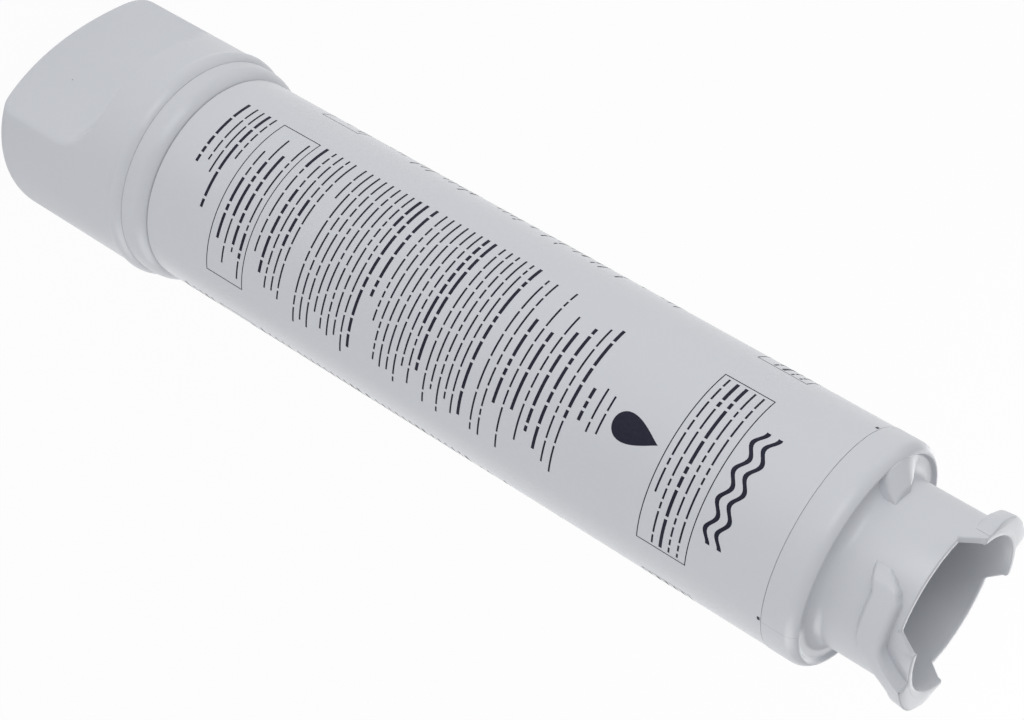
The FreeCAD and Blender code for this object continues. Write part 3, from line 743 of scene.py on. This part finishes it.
# %% The drop and the waves, then roll the print on
DROP_PLACE = (1.8, 174.2)
DROP_HALF = 5.2
DROP_WIDTH = 4.1
DROP_POINT = 1.35
DROP_STEPS = 90
WAVE_LEFT = -10.7
WAVE_RIGHT = 13.3
WAVE_LENGTH = 6.0
WAVE_SWELL = 0.75
WAVE_LINE = 0.95
WAVE_HEIGHTS = (197.9, 195.3)

drop = []
for i in range(DROP_STEPS):
    turn = FULL_TURN * i / DROP_STEPS
    half_width = DROP_WIDTH * math.sin(turn) * math.sin(turn / 2) ** DROP_POINT
    drop.append((half_width, DROP_HALF * math.cos(turn)))
blob(flat, drop, DROP_PLACE)
for height in WAVE_HEIGHTS:
    strip(flat, WAVE_LEFT, WAVE_RIGHT, height - WAVE_LINE / 2, height + WAVE_LINE / 2,
          sway=lambda along: WAVE_SWELL * math.sin(FULL_TURN * along / WAVE_LENGTH))
ink_piece = rolled(flat, "printed_ink", INK_LIFT)

# %% [markdown]
# ## Finishes as expressions
#
# A finish is a small program on the surface. Writing it as sums and products is easier to read than a page
# of nodes, so a small class wraps a node's output, and arithmetic on it adds Math nodes. Every other node
# comes from one method that takes the node's type, its settings and its inputs.

# %% A class for values on a surface


class Field:
    """A value on a surface. Arithmetic on it adds Math nodes to its finish."""

    def __init__(self, finish, socket):
        self.finish = finish
        self.socket = socket

    def math(self, operation, *others):
        return self.finish.maths(operation, self, *others)

    def __add__(self, other):
        return self.math("ADD", other)

    def __sub__(self, other):
        return self.math("SUBTRACT", other)

    def __mul__(self, other):
        return self.math("MULTIPLY", other)

    def __truediv__(self, other):
        return self.math("DIVIDE", other)

    def __rsub__(self, other):
        return self.finish.maths("SUBTRACT", other, self)

    def __rtruediv__(self, other):
        return self.finish.maths("DIVIDE", other, self)

    __radd__ = __add__
    __rmul__ = __mul__

    def __gt__(self, other):
        return self.math("GREATER_THAN", other)

    def __lt__(self, other):
        return self.math("LESS_THAN", other)

    def between(self, low, high):
        return (self > low) * (self < high)


# %% A class for finishes


class Finish:
    """A node material, built up from expressions on the place of each point of the surface."""

    def __init__(self, name):
        self.material = bpy.data.materials.new(name)
        self.material.use_nodes = True
        self.tree = self.material.node_tree
        self.shader = self.tree.nodes["Principled BSDF"]
        self.place = self.node("ShaderNodeTexCoord", {}, {}, "Object")
        print("finish:", name)

    def node(self, kind, settings, inputs, output=0):
        """Adds a node: its settings first, then its inputs' values or links; returns one of its outputs."""
        made = self.tree.nodes.new(kind)
        for name, value in settings.items():
            setattr(made, name, value)
        for name, value in inputs.items():
            self.fill(made.inputs[name], value)
        return Field(self, made.outputs[output])

    def fill(self, socket, value):
        """Links a Field to a socket, or sets a plain value on it."""
        if isinstance(value, Field):
            self.tree.links.new(value.socket, socket)
        else:
            socket.default_value = value

    def feed(self, **inputs):
        """Fills the shader's sockets."""
        for name, value in inputs.items():
            self.fill(self.shader.inputs[name.replace("_", " ").title().replace("Ior", "IOR")], value)

    def maths(self, operation, *values):
        return self.node("ShaderNodeMath", {"operation": operation}, dict(enumerate(values)))

    def axes(self):
        """The place of each point along the three axes, in mm."""
        split = self.node("ShaderNodeSeparateXYZ", {}, {"Vector": self.place}).socket.node
        return [Field(self, output) / MM for output in split.outputs]

    def noise(self, size, detail=2.0):
        """Soft noise from 0 to 1 whose blotches are about a size in mm."""
        return self.node("ShaderNodeTexNoise", {},
                         {"Vector": self.place, "Scale": 1 / (size * MM), "Detail": detail})

    def cells(self, size):
        """How far each point lies from the middle of the nearest of many scattered cells."""
        return self.node("ShaderNodeTexVoronoi", {}, {"Vector": self.place, "Scale": 1 / (size * MM)})

    def mix(self, factor, first, second):
        """A colour between two colours."""
        return self.node("ShaderNodeMix", {"data_type": "RGBA"}, {0: factor, 6: first, 7: second}, 2)

    def bump(self, height, depth):
        """Normals for a relief whose height runs from 0 to 1 over a depth in mm."""
        return self.node("ShaderNodeBump", {}, {"Distance": depth * MM, "Height": height})


def dress(finish, *pieces):
    for piece in pieces:
        piece.data.materials.clear()
        piece.data.materials.append(finish.material)


# %% [markdown]
# ## Moulded white plastic
#
# The housing and the grip are a cool white plastic with a soft gloss. A mould leaves a faint unevenness:
# gloss that drifts over a few centimetres, a fine orange peel, and the odd grey speck in the pellets. A
# hair line down the shoulder shows where the mould parted. The finger flats are a touch duller than the
# rest.

# %% Housing and grip finishes
WHITE = (0.62, 0.636, 0.669, 1)
WHITE_DRIFT = (0.598, 0.614, 0.648, 1)
DRIFT_SIZE = 26
SPECK = (0.16, 0.16, 0.17, 1)
SPECK_PITCH = 9
SPECK_REACH = 0.022
SPECK_PATCH = 14
SPECK_RARITY = 0.62
PARTING_TURN = math.radians(-3.5)
PARTING_HALF = 0.11
PARTING_TONE = 0.2
PARTING_REACH = 22.4
DULL = 0.24
DULL_ON_FLATS = 0.14
FLAT_NEAR = 0.4
HOUSING_PEEL = 0.012
GRIP_PEEL = 0.016
PLASTIC_IOR = 1.49


def moulded(name, peel_depth, dull_mask=None, line_mask=None):
    """White moulded plastic; one mask can dull it further, and another draws a line on it."""
    finish = Finish(name)
    base = finish.mix(finish.noise(DRIFT_SIZE, detail=3), WHITE, WHITE_DRIFT)
    if line_mask:
        base = finish.mix(line_mask(finish) * PARTING_TONE, base, SPECK)
    speck = (finish.cells(SPECK_PITCH) < SPECK_REACH) * (finish.noise(SPECK_PATCH) > SPECK_RARITY)
    finish.feed(base_color=finish.mix(speck, base, SPECK))
    dull = finish.noise(3.5, detail=4) * 0.08 + finish.noise(34) * 0.1 + DULL
    finish.feed(roughness=dull + dull_mask(finish) * DULL_ON_FLATS if dull_mask else dull)
    peel = finish.noise(0.9, detail=2) * 0.6 + finish.noise(0.22, detail=1) * 0.4
    finish.feed(normal=finish.bump(peel, peel_depth), ior=PLASTIC_IOR)
    return finish


def on_flats(finish):
    """The two finger flats."""
    side = finish.axes()[1].math("ABSOLUTE")
    return side.between(FLAT_Y - FLAT_NEAR, FLAT_Y + FLAT_NEAR)


def on_parting(finish):
    """The hair line where the halves of the mould met, down both sides of the shoulder."""
    across, along, height = finish.axes()
    away = (along * math.cos(PARTING_TURN) - across * math.sin(PARTING_TURN)).math("ABSOLUTE")
    outer = across * across + along * along > PARTING_REACH ** 2
    return (away < PARTING_HALF) * (height > RECESS_TOP) * outer


housing_finish = moulded("moulded_housing", HOUSING_PEEL, line_mask=on_parting)
grip_finish = moulded("moulded_grip", GRIP_PEEL, dull_mask=on_flats)
dress(housing_finish, housing_piece, *rib_pieces, key_piece)
dress(grip_finish, grip_piece)

# %% [markdown]
# ## Film and ink
#
# The film is white too, and lies with a faint ripple. The ink is a blue-black that is a little duller than
# the film, and not quite even.

# %% Film and ink finishes
FILM_WHITE = (0.626, 0.641, 0.675, 1)
FILM_DRIFT = (0.612, 0.627, 0.662, 1)
FILM_DULL = 0.22
FILM_RIPPLE = 0.02
FILM_IOR = 1.5
INK = (0.010, 0.011, 0.024, 1)
INK_THIN = (0.022, 0.024, 0.042, 1)
INK_DULL = 0.36
INK_IOR = 1.45
INK_SHINE = 0.18

film_finish = Finish("wrap_film")
film_finish.feed(base_color=film_finish.mix(film_finish.noise(30, detail=3), FILM_WHITE, FILM_DRIFT))
film_finish.feed(roughness=film_finish.noise(4, detail=3) * 0.06 + FILM_DULL, ior=FILM_IOR)
ripple = film_finish.noise(7, detail=2) * 0.8 + film_finish.noise(0.5) * 0.2
film_finish.feed(normal=film_finish.bump(ripple, FILM_RIPPLE))
ink_finish = Finish("print_ink")
ink_finish.feed(base_color=ink_finish.mix(ink_finish.noise(0.6, detail=3), INK, INK_THIN))
ink_finish.feed(roughness=ink_finish.noise(2) * 0.1 + INK_DULL, ior=INK_IOR, specular_ior_level=INK_SHINE)
dress(film_finish, film_piece)
dress(ink_finish, ink_piece)

# %% [markdown]
# ## The element inside
#
# The carbon block, its fleece, the end caps and the seals are hidden, but for what shows through the ports
# in the socket's floor. They keep their solids, and each gets the finish of its own stuff: black granules,
# matted fibre, natural plastic and rubber.

# %% Finishes of the inner pieces
GRAIN_SHARE = 0.7
BLOTCH_SHARE = 0.3
BLOTCH_GRAINS = 9
BLOTCH_DULL = 0.15
# Each stuff: its dark and its pale colour, the size and depth of its grain in mm, and how dull it is
CARBON = ((0.012, 0.012, 0.012, 1), (0.06, 0.06, 0.062, 1), 0.7, 0.1, 0.7)
FLEECE = ((0.62, 0.62, 0.6, 1), (0.84, 0.84, 0.82, 1), 0.3, 0.1, 0.75)
NATURAL = ((0.6, 0.6, 0.585, 1), (0.7, 0.7, 0.685, 1), 1.4, 0.01, 0.4)
RUBBER = ((0.012, 0.012, 0.012, 1), (0.03, 0.03, 0.03, 1), 0.3, 0.01, 0.45)
INNER = {
    "carbon_block": ("pressed_carbon", CARBON),
    "prefilter_sleeve": ("fleece", FLEECE),
    "closed_end_cap": ("natural_plastic_low", NATURAL),
    "outlet_end_cap": ("natural_plastic_high", NATURAL),
    "inner_o_ring": ("seal_rubber_inner", RUBBER),
    "outer_o_ring": ("seal_rubber_outer", RUBBER),
}


def grained(name, dark, pale, size, depth, dull):
    """A finish of grains, with wider blotches over them."""
    finish = Finish(name)
    grain = finish.cells(size)
    blotch = finish.noise(size * BLOTCH_GRAINS, detail=3)
    finish.feed(base_color=finish.mix(grain * GRAIN_SHARE + blotch * BLOTCH_SHARE, dark, pale))
    finish.feed(roughness=blotch * BLOTCH_DULL + dull, normal=finish.bump(grain, depth))
    return finish


for node, (name, stuff) in INNER.items():
    dress(grained(name, *stuff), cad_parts[node])

# %% [markdown]
# ## Floor, light and camera
#
# The photograph has the look of a light tent: white all round, with hardly a shadow. So the world is an
# even, faintly cool white at half strength, and four large soft lamps stand low round the cartridge, which
# light its sides more than its ends. The pale floor answers the camera with white while it still takes the
# shadow, and glows a little by itself. Seen in a gloss, it has a dark gap on one side, which stands for the
# open side of the tent and gives the barrel its soft dip in tone. The cartridge stands upright here; the
# camera is rolled, so that it lies across the picture as it does in the photograph. The reach of the floor
# and the places of lamps and camera are in metres.

# %% Floor
FLOOR_HALF = 4.0
FLOOR_SIDES = 96
FLOOR_DROP = 0.05
FLOOR_PALE = (0.86, 0.86, 0.87, 1)
FLOOR_DULL = 0.9
FLOOR_SHOWN = 0.95
FLOOR_GLOW = 0.2
GAP_TURN = math.radians(8)
GAP_EDGE = math.cos(math.radians(58))
GAP_CRISP = 4.5
GAP_DARK = 0.7

floor_bm = bmesh.new()
bmesh.ops.create_circle(floor_bm, cap_ends=True, segments=FLOOR_SIDES, radius=FLOOR_HALF)
bmesh.ops.translate(floor_bm, verts=floor_bm.verts, vec=(0, 0, -FLOOR_DROP * MM))
floor_mesh = bpy.data.meshes.new("floor")
floor_bm.to_mesh(floor_mesh)
floor_bm.free()
floor = bpy.data.objects.new("floor", floor_mesh)
bpy.context.scene.collection.objects.link(floor)
print("floor laid")

# %% The floor's finish
floor_finish = Finish("pale_floor")
floor_finish.feed(base_color=FLOOR_PALE, roughness=FLOOR_DULL)
seen, glossy, clear = (floor_finish.node("ShaderNodeLightPath", {}, {}, f"Is {ray} Ray")
                       for ray in ("Camera", "Glossy", "Transmission"))
across, along, _ = floor_finish.axes()
away = (across * across + along * along).math("SQRT")
facing = (across * math.cos(GAP_TURN) + along * math.sin(GAP_TURN)) / away
gap = ((facing - GAP_EDGE) * GAP_CRISP).math("MAXIMUM", 0).math("MINIMUM", 1)
shown = (seen + clear).math("MINIMUM", 1) * FLOOR_SHOWN + glossy * (FLOOR_SHOWN - gap * GAP_DARK)
glow = floor_finish.node("ShaderNodeEmission", {}, {"Color": (1, 1, 1, 1), "Strength": 1.0})
surface = Field(floor_finish, floor_finish.shader.outputs[0])
mixed = floor_finish.node("ShaderNodeMixShader", {},
                          {0: shown.math("MAXIMUM", FLOOR_GLOW), 1: surface, 2: glow})
floor_finish.fill(floor_finish.tree.nodes["Material Output"].inputs["Surface"], mixed)
floor_mesh.materials.append(floor_finish.material)

# %% World and lamps
WORLD_LEVEL = 0.5
WORLD_TINT = (0.985, 0.99, 1.0, 1)
LAMP_AIM = Vector((0, 0, 0.12))
LAMP_AWAY = 1.4
LAMP_SIZE = 0.9
# Each lamp: its azimuth and elevation in degrees, and its power
LAMPS = {
    "tent_front": (-82, 12, 6.6),
    "tent_left": (-155, 8, 1.5),
    "tent_right": (48, 8, 6.5),
    "tent_back": (130, 8, 5.0),
}

world = bpy.data.worlds.new("tent")
bpy.context.scene.world = world
world.use_nodes = True
background = world.node_tree.nodes["Background"]
background.inputs["Color"].default_value = WORLD_TINT
background.inputs["Strength"].default_value = WORLD_LEVEL


def soft_lamp(name, azimuth, elevation, power):
    """A large square lamp that looks at the middle of the barrel."""
    lamp = bpy.data.lights.new(name, "AREA")
    lamp.shape = "SQUARE"
    lamp.size = LAMP_SIZE
    lamp.energy = power
    made = bpy.data.objects.new(name, lamp)
    bpy.context.scene.collection.objects.link(made)
    az, el = math.radians(azimuth), math.radians(elevation)
    way = Vector((math.cos(el) * math.cos(az), math.cos(el) * math.sin(az), math.sin(el)))
    made.location = LAMP_AIM + way * LAMP_AWAY
    made.rotation_euler = way.to_track_quat("Z", "Y").to_euler()


for name, (azimuth, elevation, power) in LAMPS.items():
    soft_lamp(name, azimuth, elevation, power)
print("world level", WORLD_LEVEL, "and lamps:", ", ".join(LAMPS))

# %% Camera
CAMERA_PLACE = (0.20885, -0.36174, 0.34944)
CAMERA_AZIMUTH = -60.275
CAMERA_ELEVATION = 27.47
CAMERA_ROLL = 120.637
CAMERA_LENS = 82.33
CAMERA_SENSOR = 36
CAMERA_NEAR = 0.01

camera_data = bpy.data.cameras.new("camera")
camera_data.sensor_fit = "HORIZONTAL"
camera_data.sensor_width = CAMERA_SENSOR
camera_data.lens = CAMERA_LENS
camera_data.clip_start = CAMERA_NEAR
camera_data.dof.use_dof = False
camera = bpy.data.objects.new("camera", camera_data)
bpy.context.scene.collection.objects.link(camera)
pan = Matrix.Rotation(math.radians(CAMERA_AZIMUTH + QUARTER), 3, "Z")
tilt = Matrix.Rotation(math.radians(QUARTER - CAMERA_ELEVATION), 3, "X")
roll = Matrix.Rotation(math.radians(CAMERA_ROLL), 3, "Z")
camera.matrix_world = Matrix.Translation(CAMERA_PLACE) @ (pan @ tilt @ roll).to_4x4()
bpy.context.scene.camera = camera
bpy.context.scene.view_settings.view_transform = "Standard"
print("camera at", CAMERA_PLACE)
